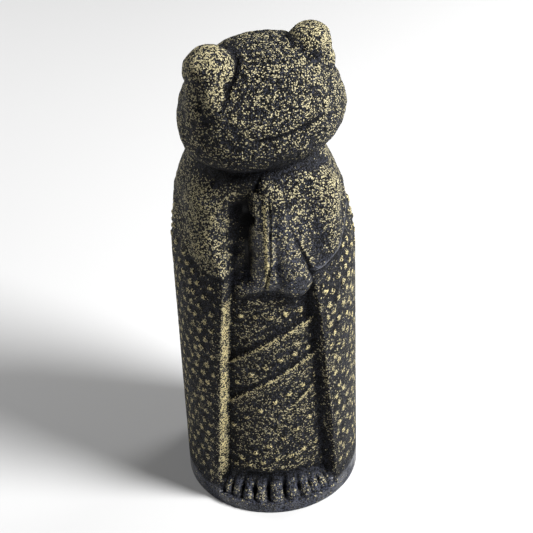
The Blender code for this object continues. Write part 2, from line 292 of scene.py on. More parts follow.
# %% [markdown]
# The inner robe is wrapped in layers, so each fold is a small step: its upper edge stands proud and
# fades away below. The edges climb from the left sleeve to the right one, and each is a parabola in
# the turn. A fold is written as five numbers: the height of its edge in front, in millimetres, its
# climb and its bow with the turn, its step, and the turn where it begins.

# %% Folds of the inner robe
FOLDS = (
    (128.4, 0.44, -0.0029, 2.0, -60.0),
    (100.4, 0.47, -0.0025, 1.7, -60.0),
    (68.5, 0.68, 0.0, 1.1, 4.0),
)
FOLD_START = 18.0
FOLD_EDGE = 0.7 * MM
FOLD_FADE = 13.0 * MM
ROBE_HEM = 26.5 * MM
ROBE_HEM_BOW = 0.0035 * MM
ROBE_HEM_EDGE = 0.8 * MM
ROBE_HEM_STEP = 2.0 * MM


def fold_edge(fold, turn):
    """Height of a fold's edge: a + b turn + c turn squared."""
    middle, climb, bow = fold[:3]
    return (middle + climb * turn + bow * turn ** 2) * MM


def fold_begun(fold, turn):
    """0 to the left of the turn where a fold begins, easing up to 1 over FOLD_START degrees."""
    return ease(turn, fold[4], fold[4] + FOLD_START)


def robe_folds(turn, height):
    """The greatest of the folds' steps, each a sharp rise at the edge and an exponential fade below it,
    plus the step that the robe's hem makes over the toes."""
    relief = np.zeros_like(height)
    for fold in FOLDS:
        below = fold_edge(fold, turn) - height
        fade = np.exp(-np.maximum(below, 0.0) / FOLD_FADE)
        step = fold[3] * MM * ease(below, -FOLD_EDGE, FOLD_EDGE) * fade
        relief = np.maximum(relief, step * fold_begun(fold, turn))
    hem = ROBE_HEM - ROBE_HEM_BOW * turn ** 2
    return relief + ROBE_HEM_STEP * ease(height, hem - ROBE_HEM_EDGE, hem + ROBE_HEM_EDGE)


print(len(FOLDS), "folds; the top one crosses the middle at", round(fold_edge(FOLDS[0], 0.0) / MM, 1), "mm")

# %% [markdown]
# Three things are carved from the column. The opening has the robe's recess below the chest and the two
# hollows above it; the left hollow has a wide rolled slope, and the right one a thin rim and a crease.
# Under the hem of the upper arm the sleeve is tucked in, and the hem's lip stands out over it.

# %% Depth of the opening
FOOT_EDGE = 0.2 * MM
CHEST_FADE = 16 * MM
ROLL_BEGINS = 12 * MM
ROLL_FULL = 44 * MM
HOLLOW_DROP_LEFT = 9.0 * MM
HOLLOW_DROP_RIGHT = 3.0 * MM
PALM_RIM = 1.6 * MM
PALM_CREASE = 1.8 * MM


def opening(height, turn):
    """How far within the opening a point is, from 0 to 1, and the depth carved there: the recess less
    the folds, blended over the chest into that side's hollow, times the first; then a bell for the
    right side's crease, less one for its rim."""
    beyond = np.radians(np.abs(turn) - opening_edge(height, turn)) * RADIUS
    on_left = turn < 0.0
    roll = ease(height, CHEST + ROLL_BEGINS, CHEST + ROLL_FULL)
    wall = WALL + np.where(on_left, LEFT_ROLL - WALL, 0.0) * roll
    within = 1.0 - ease(beyond, -wall, 0.2 * MM)
    low_part = RECESS * ease(height, FOOT - FOOT_EDGE, FOOT + FOOT_EDGE) - robe_folds(turn, height)
    hollow = np.where(on_left, HOLLOW_LEFT, HOLLOW_RIGHT)
    hollow_top = PALM_TOP - np.where(on_left, HOLLOW_DROP_LEFT, HOLLOW_DROP_RIGHT)
    high_part = hollow * (1.0 - ease(height, hollow_top - 12 * MM, hollow_top + 7 * MM))
    carved = low_part + (high_part - low_part) * ease(height, CHEST, CHEST + CHEST_FADE)
    carved = np.where(height < FOOT - FOOT_EDGE, 0.0, carved)
    edged = band(height, 168 * MM, 178 * MM, PALM_TOP - 10 * MM, PALM_TOP) * (1.0 - on_left)
    rim = PALM_RIM * bell(beyond + 2.4 * MM, 1.1 * MM)
    crease = PALM_CREASE * bell(beyond + 0.2 * MM, 0.8 * MM)
    return within, carved * within + (crease - rim) * edged


middle_depth = opening(np.array([0.09]), np.array([0.0]))[1][0]
print("half way up, the opening's middle is", round(float(middle_depth) / MM, 1), "mm deep")

# %% Tuck under the hem
TUCK = 2.6 * MM
TUCK_FADE = 18 * MM
HEM_LIP = 0.9 * MM


def hem_tuck(height, turn):
    """The step under the hem, fading downwards, less the hem's lip; both are half as deep behind."""
    below = hem_height(turn) - height
    front = 1.0 - 0.5 * ease(np.abs(turn), 45.0, 75.0)
    tuck = TUCK * ease(below, -0.6 * MM, 0.8 * MM) * np.exp(-np.maximum(below, 0.0) / TUCK_FADE)
    return front * (tuck - HEM_LIP * bell(below + 2.2 * MM, 1.8 * MM))


print("the tuck is", TUCK / MM, "mm deep and the lip stands out by", HEM_LIP / MM, "mm")

# %% The carved column
TOP_LEAN = 2.2 * MM


def column(points):
    """A superellipse of reach and height, less its size, plus the depth that the carving takes away."""
    x, y, z = points.T
    lean = TOP_LEAN * ease(z, SHOULDER + 0.1 * DOME, SHOULDER + 0.7 * DOME)
    reach = np.hypot(x + lean, y)
    turn = np.degrees(np.arctan2(x + lean, -y))
    above = np.maximum(z - SHOULDER, 0.0) / DOME
    size = ((reach / RADIUS) ** DOME_POWER + above ** DOME_POWER) ** (1.0 / DOME_POWER)
    within, carved = opening(z, turn)
    return RADIUS * (size - 1.0) + carved + hem_tuck(z, turn) * (1.0 - within)


in_column = np.array([[0, 0.001, 0.1]])
print("the column's function at its middle is", round(float(column(in_column)[0]) / MM, 1), "mm")

# %% [markdown]
# ## Arms, palms and toes
#
# The upper arms swell over the dome and end in an elbow beside the hands. The palms are two tapered
# rods, thin at the finger tips and round at the wrists, with a short one for the left wrist and a flat
# blade between them for the line of the fingers. The toes are ten short rods of different widths that
# fan out from under the inner robe.

# %% Arms
ARM_TOP = np.array((28.5, -21.0, 213.0)) * MM
ELBOW = np.array((30.5, -29.0, 185.0)) * MM
ARM_RADIUS = 14.0 * MM
ELBOW_RADIUS = 10.3 * MM


def arms(points):
    """The nearer of two tapered rods, one for each upper arm."""
    skin = np.full(len(points), 1.0)
    for side in (-1.0, 1.0):
        sided = np.array((side, 1.0, 1.0))
        skin = np.minimum(skin, rod(points, ARM_TOP * sided, ELBOW * sided, ARM_RADIUS, ELBOW_RADIUS))
    return skin


print("the arms reach", round((ARM_RADIUS + np.hypot(*ARM_TOP[:2])) / MM, 1), "mm from the middle")

# %% Palms
HANDS = (
    ((-4.4, -38.8, 222.0), 5.0, (-4.0, -41.0, 171.0), 6.4),
    ((-4.0, -41.0, 168.0), 6.4, (-13.5, -37.2, 162.0), 6.7),
    ((4.4, -40.2, 225.5), 4.2, (13.6, -41.4, 168.0), 10.6),
)
PALM_MIDDLE = 0.8 * MM
PALM_ROOT = 25 * MM
PALM_WIDTH = 5.5
PALM_TAPER = 1.5
PALM_REACH = 49.5
PALM_SET_BACK = 5.0
HAND_BLEND = 2.0 * MM
SEAM_DEPTH = 1.2 * MM
SEAM_WIDTH = 0.7 * MM


def seam_place(height):
    """Where the seam lies across: left of the middle at the wrists, and bending over to the tips."""
    return (-4.0 + 4.8 * ease(height, 157 * MM, 187 * MM) + 0.8 * ease(height, 187 * MM, 211 * MM)) * MM


def palms(points):
    """A blade whose half-width and reach taper upwards, joined to three tapered rods, with a seam down
    the front where the palms meet."""
    x, y, z = points.T
    held = np.clip((z - PALM_FOOT) / (PALM_TOP - PALM_FOOT), 0.0, 1.0)
    width = (PALM_WIDTH - PALM_TAPER * held) * MM
    reach = (PALM_REACH - PALM_SET_BACK * held ** 1.5) * MM
    past_end = np.maximum(np.maximum(z - PALM_TOP, PALM_FOOT - z), 0.0)
    past_edge = np.maximum(np.maximum(width - reach - y, y + PALM_ROOT), 0.0)
    skin = np.sqrt((x - PALM_MIDDLE) ** 2 + past_edge ** 2 + past_end ** 2) - width
    for start, start_radius, end, end_radius in HANDS:
        hand = rod(points, np.array(start) * MM, np.array(end) * MM, start_radius * MM, end_radius * MM)
        skin = join(skin, hand, HAND_BLEND)
    seam = SEAM_DEPTH * bell(x - seam_place(z), SEAM_WIDTH)
    return skin + seam * (1.0 - ease(z, 218 * MM, 226 * MM))


print("the finger tips end at", PALM_TOP / MM, "mm")

# %% Toes
LEFT_TOES = ((-39.0, 3.0), (-31.5, 3.3), (-23.0, 3.6), (-13.0, 3.9), (-1.5, 4.6))
RIGHT_TOES = ((10.5, 4.3), (20.0, 3.6), (28.0, 3.3), (35.0, 3.0), (41.5, 2.8))
TOE_ROOT = 40.0 * MM
TOE_RISE = 13.0 * MM
TOE_REACH = 52.0
TOE_SHRINK = 1.5 / 40.0


def toes(points):
    """Ten rods in a fan, each from under the robe down to its tip on the foot; the outer ones reach a
    little less far."""
    skin = np.full(len(points), 1.0)
    for turn, radius in LEFT_TOES + RIGHT_TOES:
        along = np.array((np.sin(np.radians(turn)), -np.cos(np.radians(turn))))
        toe = radius * MM
        root = (*(along * TOE_ROOT), FOOT + TOE_RISE)
        tip = (*(along * ((TOE_REACH - TOE_SHRINK * abs(turn)) * MM - toe)), FOOT + 0.2 * toe)
        skin = join(skin, rod(points, root, tip, 0.85 * toe, toe), 0.3 * MM)
    return skin


widest_toe = 2 * max(radius for turn, radius in LEFT_TOES)
print(len(LEFT_TOES + RIGHT_TOES), "toes; the widest is", widest_toe, "mm wide")

# %% [markdown]
# ## The head
#
# The head is a broad ball, high above its widest line and shallow below it, set askew: it is turned and
# leaned to one side as if listening. It is worked out in its own axes, so that the eyes and the mouth
# turn with it. The two eyes are round swells at its top corners that run down into ridges, two for the
# left eye and one for the right. Each has a crease on its inner side, and the mouth is a thin line
# pressed into the clay.

# %% The head and its axes
HEAD_CENTRE = np.array((2.0, -7.1, 255.4)) * MM
HEAD_HALF = np.array((47.0, 38.5)) * MM
CROWN = 44.7 * MM
CHIN = 26.8 * MM
HEAD_POWER = 2.05
HEAD_TURN = 19.0
HEAD_LEAN = 5.0
HEAD_RAISE = 1.0


def head_axes():
    """The product of three turns: about the vertical, then sideways, then nose up."""
    a, b, c = np.radians((HEAD_TURN, HEAD_LEAN, HEAD_RAISE))
    about_z = np.array(((np.cos(a), -np.sin(a), 0), (np.sin(a), np.cos(a), 0), (0, 0, 1)))
    about_y = np.array(((np.cos(b), 0, -np.sin(b)), (0, 1, 0), (np.sin(b), 0, np.cos(b))))
    about_x = np.array(((1, 0, 0), (0, np.cos(c), np.sin(c)), (0, -np.sin(c), np.cos(c))))
    return about_z @ about_y @ about_x


def along_head_axes(points):
    """Places measured from the head's centre along the head's own axes."""
    return (points - HEAD_CENTRE) @ head_axes()


print("the head's own upward axis is", [round(float(v), 3) for v in head_axes()[:, 2]])

# %% Creases beside the eyes
LEFT_EYE_CREASE = ((-12.1, 41.5), (-16.5, 37.2), (-21.7, 32.8), (-25.1, 29.5), (-27.9, 25.9), (-30.8, 22.8))
RIGHT_EYE_CREASE = ((19.8, 41.6), (18.6, 40.0))
RIGHT_CREASE_SHARE = 0.6
CREASE_DEPTH = 1.3 * MM
CREASE_WIDTH = 0.7 * MM


def groove(own, line, width):
    """A bell across the nearest of a line's straight pieces, seen from the front of the head."""
    nearest = np.full(len(own), 1.0)
    seen = own[:, (0, 2)]
    for start, end in zip(line[:-1], line[1:]):
        start, axis = np.array(start) * MM, (np.array(end) - np.array(start)) * MM
        share = np.clip((seen - start) @ axis / (axis @ axis), 0.0, 1.0)
        away = seen - start - share[:, None] * axis
        nearest = np.minimum(nearest, np.hypot(away[:, 0], away[:, 1]))
    return bell(nearest, width) * (own[:, 1] < 0.0)


def eye_creases(own):
    """The deeper of the two eyes' creases, from 0 to 1."""
    left = groove(own, LEFT_EYE_CREASE, CREASE_WIDTH)
    right = groove(own, RIGHT_EYE_CREASE, CREASE_WIDTH)
    return np.maximum(left, RIGHT_CREASE_SHARE * right)


print("the left eye's crease has", len(LEFT_EYE_CREASE) - 1, "straight pieces")

# %% Mouth
MOUTH_MIDDLE = (1.5 * MM, 6.4 * MM)
MOUTH_SLOPE = 0.05
MOUTH_BOW = 0.8 * MM
MOUTH_DEPTH = 1.5 * MM
MOUTH_WIDTH = 0.8 * MM


def mouth(own):
    """How deep the mouth's line is pressed in: a bell across a shallow parabola, ending at its corners."""
    x, y, z = own.T
    across = x - MOUTH_MIDDLE[0]
    line = MOUTH_MIDDLE[1] + MOUTH_SLOPE * across + MOUTH_BOW * (across / (20 * MM)) ** 2
    ends = 1.0 - ease(np.abs(across), 15.0 * MM, 22.0 * MM)
    return np.where(y < 0.0, MOUTH_DEPTH * bell(z - line, MOUTH_WIDTH) * ends, 0.0)


print("the mouth is pressed in by", MOUTH_DEPTH / MM, "mm and the eyes' creases by", CREASE_DEPTH / MM, "mm")

# %% The head with its eyes
LEFT_EYE = (
    ((-27.2, -5.2, 36.7), 14.2, (-31.0, -17.3, 26.3), 6.0),
    ((-27.2, -5.2, 36.7), 14.2, (-35.5, -8.0, 22.5), 7.0),
)
RIGHT_EYE = (((30.5, -5.0, 34.2), 12.5, (34.2, -8.0, 26.2), 8.0),)
EYE_BLEND = 1.5 * MM


def head(points):
    """A superellipsoid with one height above its widest line and another below it, joined to the eyes:
    sharply on their inner sides, and with a wide fillet on their outer ones."""
    own = along_head_axes(points)
    x, y, z = own.T
    tall = np.where(z > 0.0, CROWN, CHIN)
    shares = np.abs(np.stack((x / HEAD_HALF[0], y / HEAD_HALF[1], z / tall)))
    size = np.sum(shares ** HEAD_POWER, axis=0) ** (1.0 / HEAD_POWER)
    skin = (size - 1.0) * np.sqrt(np.einsum("ij,ij->i", own, own)) / np.maximum(size, 1e-6)
    outer_blend = np.where(x < 0.0, 7.0, 2.0) * MM * ease(np.abs(x), 23 * MM, 30 * MM)
    for rods in (LEFT_EYE, RIGHT_EYE):
        eye = np.full(len(own), 1.0)
        for centre, radius, tip, tip_radius in rods:
            swell = rod(own, np.array(centre) * MM, np.array(tip) * MM, radius * MM, tip_radius * MM)
            eye = join(eye, swell, EYE_BLEND)
        skin = join(skin, eye, EYE_BLEND + outer_blend)
    return skin + mouth(own) + CREASE_DEPTH * eye_creases(own)


print("the head is", round(2 * HEAD_HALF[0] / MM), "mm wide and", round((CROWN + CHIN) / MM), "mm high")

# %% The whole figure
ARM_BLEND = 4.0 * MM
PALM_BLEND = 1.2 * MM
TOE_BLEND = 0.8 * MM
NECK_BLEND = 2.5 * MM


def stone(points):
    """The whole figure: robe, arms, palms, toes and head, joined in turn."""
    figure = join(column(points), arms(points), ARM_BLEND)
    figure = join(figure, palms(points), PALM_BLEND)
    figure = join(figure, toes(points), TOE_BLEND)
    return join(figure, head(points), NECK_BLEND)


in_head = np.array([[0.0, 0.0, 0.25]])
print("the function is", round(float(stone(in_head)[0]) / MM, 1), "mm inside the head")

# %% [markdown]
# ## From the function to a skin
#
# The figure has one useful property: from its middle line, every point of the skin can be seen along
# some ray. So the skin is a grid. Its columns go round the figure and its rows climb it, and each grid
# point is where one ray leaves the stone. A marching-cubes mesh would be simpler to write, but it
# spends its points evenly, while here the columns crowd onto the walls of the opening and follow its
# slanting edges.
#
# Most rays are level. Those near the ground look up, so that they land on top of the foot between the
# toes, and those near the neck turn down into the crease under the chin. The rows run between stations.
# A station is a reach and the height that the rays pass there, their tilt in degrees, and the number of
# rows up to the next station.

# %% Rows of rays
NECK_CREASE = 238.0 * MM
STATIONS = (
    (RADIUS, 0.5 * MM, 45.0, 34),
    (RADIUS, 17.8 * MM, 45.0, 8),
    (RADIUS, 29.8 * MM, 5.0, 92),
    (RADIUS, 154.7 * MM, 0.0, 20),
    (RADIUS, 177.2 * MM, 0.0, 38),
    (0.80 * RADIUS, 222.2 * MM, 0.0, 14),
    (0.64 * RADIUS, NECK_CREASE, -17.0, 8),
    (0.80 * RADIUS, NECK_CREASE + 7 * MM, -26.0, 12),
    (0.88 * RADIUS, HEAD_CENTRE[2], 0.0, 0),
)
ROWS_ON_CROWN = 66


def ray_rows():
    """For each row, the height where its rays leave the middle line, their tilt, and the height that
    they pass at the column's surface. Between two stations all of these run in a straight line."""
    rows = []
    for here, there in zip(STATIONS[:-1], STATIONS[1:]):
        for step in range(here[3]):
            share = step / here[3]
            reach, height, tilt = (a + (b - a) * share for a, b in zip(here[:3], there[:3]))
            rows.append((height - reach * math.tan(math.radians(tilt)), tilt, height))
    for step in range(ROWS_ON_CROWN):
        rows.append((HEAD_CENTRE[2], 90.0 * step / ROWS_ON_CROWN, HEAD_CENTRE[2]))
    return np.array(rows)


rows = ray_rows()
print(len(rows), "rows, of which", ROWS_ON_CROWN, "climb over the crown")

# %% Columns of rays
COLUMNS_IN_OPENING = 52
COLUMNS_IN_WALL = 8
COLUMNS_ROUND_BACK = 106
SETTLED_EDGE = 24.0
WALL_MARGIN = 1 * MM


def column_turns(heights):
    """Turns of the columns at each height: even inside the opening, close on its wall, even behind.
    Over the opening they settle down to one edge for all heights."""
    wall = np.degrees((WALL + WALL_MARGIN) / RADIUS)
    settled = ease(heights, 214 * MM, 240 * MM)
    halves = []
    for side in (1.0, -1.0):
        edge = opening_edge(heights, np.full_like(heights, side))
        edge = (edge + (SETTLED_EDGE - edge) * settled)[:, None]
        inside = (edge - wall) * np.linspace(0.0, 1.0, COLUMNS_IN_OPENING, endpoint=False)
        across = edge - wall + 1.25 * wall * np.linspace(0.0, 1.0, COLUMNS_IN_WALL, endpoint=False)
        start = edge + 0.25 * wall
        around = start + (180.0 - start) * np.linspace(0.0, 1.0, COLUMNS_ROUND_BACK + 1)
        halves.append(side * np.concatenate((inside, across, around), axis=1))
    return np.concatenate((halves[0], halves[1][:, ::-1][:, 1:-1]), axis=1)


turns = np.radians(column_turns(rows[:, 2]))
print(turns.shape[0], "rows of", turns.shape[1], "rays")

# %% Casting the rays
MOST_STEPS = 200
HALVINGS = 14
LOWEST_START = 0.25 * MM


def cast(rows, turns):
    """Starts each ray on the middle line, or just above the ground if that line is below it, walks out
    until the function turns positive, and closes in on the skin by halving the last step."""
    flat = np.cos(np.radians(rows[:, 1]))[:, None]
    rise = np.sin(np.radians(rows[:, 1]))[:, None] + 0.0 * turns
    ways = np.stack((flat * np.sin(turns), -flat * np.cos(turns), rise), axis=2).reshape(-1, 3)
    origin = (rows[:, 0][:, None] + 0.0 * turns).ravel()
    to_ground = np.maximum(0.0, (LOWEST_START - origin) / np.maximum(rise.ravel(), 1e-6))
    starts = ways * np.where(rise.ravel() > 0.0, to_ground, 0.0)[:, None]
    starts[:, 2] += origin
    inner = np.zeros(len(starts))
    outer = np.zeros(len(starts))
    moving = np.arange(len(starts))
    for _ in range(MOST_STEPS):
        value = stone(starts[moving] + ways[moving] * outer[moving, None])
        out = value > 0.0
        moving, value = moving[~out], value[~out]
        if len(moving) == 0:
            break
        inner[moving] = outer[moving]
        outer[moving] += np.clip(-0.6 * value, 0.5 * MM, 5 * MM)
    for _ in range(HALVINGS):
        middle = 0.5 * (inner + outer)
        out = stone(starts + ways * middle[:, None]) > 0.0
        outer = np.where(out, middle, outer)
        inner = np.where(out, inner, middle)
    return (starts + ways * outer[:, None]).reshape(turns.shape + (3,))


skin = cast(rows, turns)
spans = np.ptp(skin.reshape(-1, 3), axis=0) / MM
print("the skin spans", [round(float(span), 1) for span in spans], "mm")

# %% [markdown]
# ## Relief that the tools left
#
# On top of the form lies low relief: rows of little round pellets pressed on the sleeves and the robe,
# and the unevenness of a casting, from slow lumps down to pits. The relief is worked out as a height
# for each grid point and moved along the normal. A displacement modifier could do it, but then the
# pellets could not be told to follow the turn and the height.
#
# The unevenness is value noise: random numbers on a cubic lattice, blended smoothly between its
# corners. It is the same idea as a shader's noise, but it works on arrays of points.

# %% Noise on points
LATTICE = 64


def lumps(points, size, seed):
    """Random values at lattice corners, blended with 3t^2 - 2t^3 along each axis; from -1 to 1."""
    table = np.random.default_rng(seed).uniform(-1.0, 1.0, (LATTICE, LATTICE, LATTICE))
    place = points / size
    corner = np.floor(place).astype(int)
    share = place - corner
    share = share * share * (3.0 - 2.0 * share)
    total = np.zeros(len(points))
    for step in range(8):
        offset = np.array((step & 1, (step >> 1) & 1, step >> 2))
        i, j, k = ((corner + offset) % LATTICE).T
        weight = np.prod(np.where(offset == 1, share, 1.0 - share), axis=1)
        total += weight * table[i, j, k]
    return total


print("noise at the crown:", round(float(lumps(skin.reshape(-1, 3)[-1:], 5 * MM, 1)[0]), 3))

# %% Pellets on the sleeves
PELLET = 1.9 * MM
PELLET_RISE = 1.2 * MM
PELLET_ROWS = 23
PELLETS_ROUND = 44
LOWEST_PELLETS = 23.0
PELLET_PITCH = 7.8
PELLET_SWAY = 1.8 * MM
PELLET_SHIFT = 0.16


def dome(away, radius):
    """1 at the middle of a pellet, easing down to 0 just beyond its radius."""
    return 1.0 - ease(away, 0.35 * radius, 1.25 * radius)


def sleeve_pellets(turn, height):
    """Staggered rows: in each row the nearest pellet's turn comes from rounding, with half a step's
    shift in every other row, and each pellet is moved a little by sines so that no row is straight."""
    pitch = 360.0 / PELLETS_ROUND
    relief = np.zeros_like(height)
    for row in range(PELLET_ROWS):
        stagger = 0.5 * (row % 2)
        place = np.round(turn / pitch - stagger) + stagger
        sway = PELLET_SWAY * np.sin(2.4 * place + 5.0 * row)
        level = (LOWEST_PELLETS + PELLET_PITCH * row) * MM + sway
        centre = (place + PELLET_SHIFT * np.sin(4.1 * place + 3.0 * row)) * pitch
        away = np.hypot(np.radians(turn - centre) * RADIUS, height - level)
        relief = np.maximum(relief, dome(away, PELLET))
    beyond = np.abs(turn) - opening_edge(height, turn)
    return relief * ease(beyond, 3.5, 5.5) * ease(hem_height(turn) - height, 5 * MM, 7 * MM)


print(PELLET_ROWS * PELLETS_ROUND, "places for pellets on the sleeves, less those in the opening")

# %% Pellets on the inner robe
ROBE_PELLET = 1.7 * MM
ROBE_PELLET_PITCH = 11.0
ROBE_LEVELS = (
    (145.0, 0.02, 0.0),
    (110.5, 0.40, -0.0055),
    (81.5, 0.50, -0.003),
    (50.0, 0.52, 0.0),
    (36.0, 0.2, 0.0),
)


def robe_pellets(turn, height):
    """Rows that run midway between two folds, and below the wrists and the lowest fold; a row is a
    parabola in the turn, as a fold is."""
    relief = np.zeros_like(height)
    for number, (middle, climb, bow) in enumerate(ROBE_LEVELS):
        stagger = 0.5 * (number % 2)
        centre = (np.round(turn / ROBE_PELLET_PITCH - stagger) + stagger) * ROBE_PELLET_PITCH
        level = (middle + climb * centre + bow * centre ** 2) * MM
        away = np.hypot(np.radians(turn - centre) * (RADIUS - RECESS), height - level)
        relief = np.maximum(relief, dome(away, ROBE_PELLET))
    return relief * ease(opening_edge(height, turn) - np.abs(turn), 3.0, 5.0)


print(len(ROBE_LEVELS), "rows of pellets on the inner robe")

# %% Adding the relief
flat_skin = skin.reshape(-1, 3)
turn = np.degrees(np.arctan2(flat_skin[:, 0], -flat_skin[:, 1]))
height = flat_skin[:, 2]


def grid_normals(grid):
    """The cross product of the differences to the next column and to the next row, made one long."""
    across = np.roll(grid, -1, axis=1) - np.roll(grid, 1, axis=1)
    upward = np.gradient(grid, axis=0)
    normal = np.cross(across, upward)
    return normal / np.maximum(np.linalg.norm(normal, axis=2, keepdims=True), 1e-12)


normals = grid_normals(skin).reshape(-1, 3)
on_head = ease(height, 238 * MM, 242 * MM)
dotted = np.maximum(sleeve_pellets(turn, height), robe_pellets(turn, height))
cast_lumps = 0.35 * MM * lumps(flat_skin, 9 * MM, 2) + 0.32 * MM * lumps(flat_skin, 4.2 * MM, 3)
pits = -0.55 * MM * ease(lumps(flat_skin, 3.0 * MM, 5), 0.55, 0.85) * (0.4 + 0.6 * on_head)
sand = 0.22 * MM * lumps(flat_skin, 2.2 * MM, 4)
off_the_ground = ease(height, 1.0 * MM, 4.0 * MM)
relief = PELLET_RISE * dotted + (cast_lumps + pits + sand) * off_the_ground
moved = flat_skin + normals * relief[:, None]
print("relief from", round(float(relief.min()) / MM, 2), "to", round(float(relief.max()) / MM, 2), "mm")

# %% [markdown]
# The dressed figure must stay inside the solid's box, and its foot must stand flat. So whatever the
# relief pushes past the radius of the foot, or past the crown, is held back there.

# %% Holding the skin inside the box
SIDE_MARGIN = 0.02 * MM
TOP_MARGIN = 0.05 * MM
LOWEST_RING = 0.3 * MM


def hold_inside(points):
    """Where a point's reach is over the column's radius, the reach is cut back to it."""
    reach = np.hypot(points[:, 0], points[:, 1])
    inward = np.minimum(1.0, (RADIUS - SIDE_MARGIN) / np.maximum(reach, 1e-9))
    level = np.clip(points[:, 2], LOWEST_RING, SOLID_BOX[1][2] - TOP_MARGIN)
    return np.stack((points[:, 0] * inward, points[:, 1] * inward, level), axis=1)


moved = hold_inside(moved)
grid = moved.reshape(skin.shape)
print("widest reach", round(float(np.hypot(moved[:, 0], moved[:, 1]).max()) / MM, 2), "mm")

# %% [markdown]
# ## Where the paint lies
#
# Gold paint was dragged over the dark stone with an almost dry brush, so it caught what stands proud:
# pellets, the edges of folds, the sandy grain. Hollows stayed black. Shade is painted on top: less gold
# and a dark overlay over even the grain in the creases, the hollows, under the hem and the folds, between
# the toes, and where the chin and the palms cast their shadows. Handling has polished some edges back to
# smooth dark stone: the right hem, the toes, the rim of the foot and the lower hands, which are painted a
# lighter blue-grey for their sheen.
#
# Gold, gloss and painted shade are kept as three numbers on each vertex, which a material reads as
# attributes.
# How proud a point is comes from the grid itself: it is the distance along the normal between the point
# and the average of the points around it, over a few grid steps or over many.

# %% Proud and hollow
def blurred(grid, times):
    """Each pass replaces a point by a quarter of its two neighbours along a row, then along a column,
    and a half of itself."""
    for _ in range(times):
        grid = 0.25 * (np.roll(grid, 1, axis=1) + np.roll(grid, -1, axis=1)) + 0.5 * grid
        padded = np.concatenate((grid[:1], grid, grid[-1:]))
        grid = 0.25 * (padded[:-2] + padded[2:]) + 0.5 * grid
    return grid


def stands_proud(grid, facing, times):
    """The dot product of the normal and the way from the blurred grid to the grid, in a flat array."""
    return np.einsum("ijk,ijk->ij", grid - blurred(grid, times), facing).ravel()


facing = grid_normals(grid)
fine_proud = stands_proud(grid, facing, 3)
wide_proud = stands_proud(grid, facing, 16)
proud = np.clip(fine_proud / (0.10 * MM), -1, 1) * 0.65 + np.clip(wide_proud / (0.6 * MM), -1, 1) * 0.35
# How deep a point lies in a wide hollow. Less gold there is partly a brush that misses hollows and partly
# painted shade.
deep = np.clip(-stands_proud(grid, facing, 120) / (2.0 * MM), 0.0, 1.0)
# Undersides get less gold: partly a dry brush that misses them, partly painted shade.
below = np.clip(0.15 - facing[:, :, 2].ravel(), 0.0, 1.0)
print("proud runs from", round(float(proud.min()), 2), "to", round(float(proud.max()), 2))

# %% [markdown]
# The places that the brush treated in their own way, and the places where shade is painted, are zones:
# numbers from 0 to 1 over the turn and the height. Heights are in millimetres here, because there are
# many of them.

# %% Zones of the robe
up = height / MM
past_edge = np.abs(turn) - opening_edge(height, turn)
over_hem = (height - hem_height(turn)) / MM
inside_opening = ease(-past_edge, 0.0, 3.0) * (1.0 - ease(up, 155, 160))
foot_rim = 1.0 - ease(up, 9 + 8 * inside_opening, 13 + 8 * inside_opening)
outside = ease(past_edge, -2.0, 1.0)
left_wall = bell(turn + opening_edge(height, turn) - 1.4, 1.8) * band(up, 14, 28, 150, 165)
on_sleeves = (1.0 - inside_opening) * (1.0 - ease(over_hem, -3, 0))
sleeves = on_sleeves * (1.0 - left_wall) * ease(up, 8, 12)
# Painted shade just under the hem's lip.
hem_shade = bell(over_hem + 1.0, 1.8) * outside
hem_lip = bell(over_hem - 2.0, 2.2) * outside
polished_hem = bell(over_hem - 1.2, 1.3) * outside * ease(turn, 0.0, 20.0)
# Painted shade in the gaps between the toes.
shaded_toe_gaps = np.clip(-wide_proud / (0.6 * MM), 0.0, 1.0) * foot_rim * inside_opening
# fold_shade is painted shade in the step just above each fold's edge.
fold_lines = np.zeros_like(height)
fold_shade = np.zeros_like(height)
for fold in FOLDS:
    past = (fold_edge(fold, turn) - height) / MM
    begun = fold_begun(fold, turn) * ease(-past_edge, 1.0, 4.0)
    fold_lines = fold_lines + begun * bell(past - 1.0, 1.3)
    fold_shade = fold_shade + begun * bell(past + 1.4, 1.4)
print("the opening takes", round(100 * float(inside_opening.mean())), "percent of the grid's points")

# %% Zones of the arms, hands and head
left_arm = bell(turn + 44.0, 14.0) * bell(up - 200, 20)
right_arm = bell(turn - 38.0, 18.0) * bell(up - 187, 19)
hands = bell(turn, 26.0) * band(up, 160, 166, 205, 220)
seam_turn = np.degrees(np.arctan2(moved[:, 0] + 1.4 * MM, -moved[:, 1]))
palm_edge = bell(seam_turn, 1.4) * band(up, 162, 168, 216, 226)
# Over the chest this zone, times the depth of the hollows, gives painted shade.
chest = bell(turn + 20.0, 16.0) * band(up, 164, 172, 222, 230)
# Painted shadow of the palms in the hollow beside them.
shadow_beside_palms = bell(turn + 15.0, 9.0) * band(up, 172, 182, 226, 232)
# Painted shadow of the chin on the neck and the left shoulder.
neck_shade = bell(turn + 26.0, 28.0) * ease(up, 224, 232) * (1.0 - on_head)
own = along_head_axes(moved)
eyes = ease(np.abs(own[:, 0]), 16 * MM, 22 * MM) * ease(own[:, 2], 22 * MM, 29 * MM) * on_head
# The eyes' creases and the mouth get painted shade: gold is taken away and the dark overlay laid on.
pressed = (eye_creases(own) ** 3 + mouth(own) / MOUTH_DEPTH) * on_head
# Painted shade: the lower robe and the jaw are made a little darker, as the light falls off downwards.
shaded_low_robe = 1.0 - ease(up, 25, 70)
shaded_jaw = on_head * (1.0 - ease(own[:, 2], -5 * MM, 15 * MM))
print("the head takes", round(100 * float(on_head.mean())), "percent of the grid's points")

# %% Gold, gloss and painted shade
GOLD_BASE = 0.35


def weighed(base, *parts):
    """base plus the sum of each part's weight times its zone, held between 0 and 1."""
    return np.clip(base + sum(weight * zone for weight, zone in parts), 0.0, 1.0)
